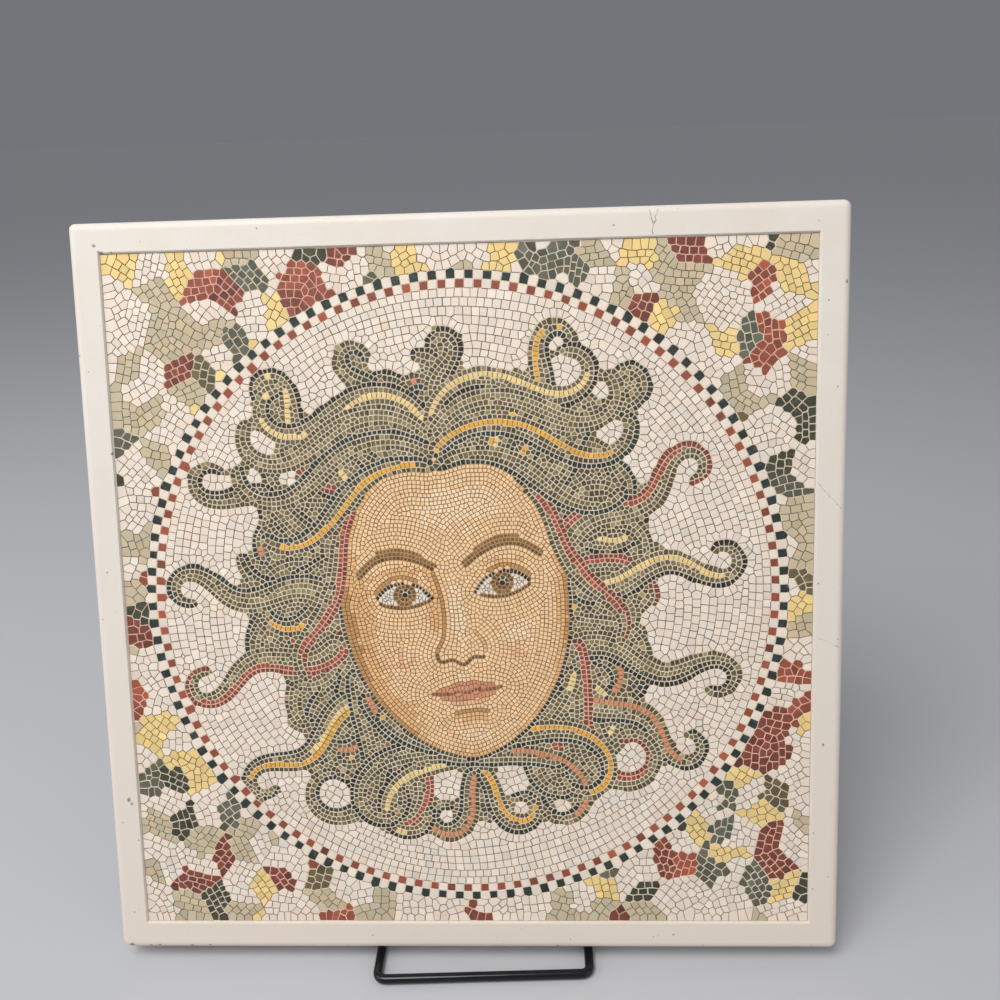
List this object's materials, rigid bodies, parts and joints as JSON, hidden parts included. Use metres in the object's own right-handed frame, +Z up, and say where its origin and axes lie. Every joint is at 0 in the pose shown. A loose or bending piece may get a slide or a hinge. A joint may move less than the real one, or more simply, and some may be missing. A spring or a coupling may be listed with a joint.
{
  "type": "mosaic panel on a wire easel",
  "caption": "Square cast panel with a sunk mosaic field and a round medallion, leaning on a small black bent-wire easel.",
  "frame": {"origin": "on the table, under the middle of the whole object's box", "axes": "+X along the panel's lower edge, to the right of someone looking at the picture; the picture faces -Y and leans back; +Z up"},
  "size_m": [0.297, 0.1426, 0.2912],
  "materials": {
    "mosaic": "matt cast stone with shallow painted tesserae and thin toned joints",
    "wire": "glossy black coating over steel wire"
  },
  "bodies": {
    "root": {"mosaic_panel": "mosaic", "wire_easel": "wire"}
  },
  "joints": []
}
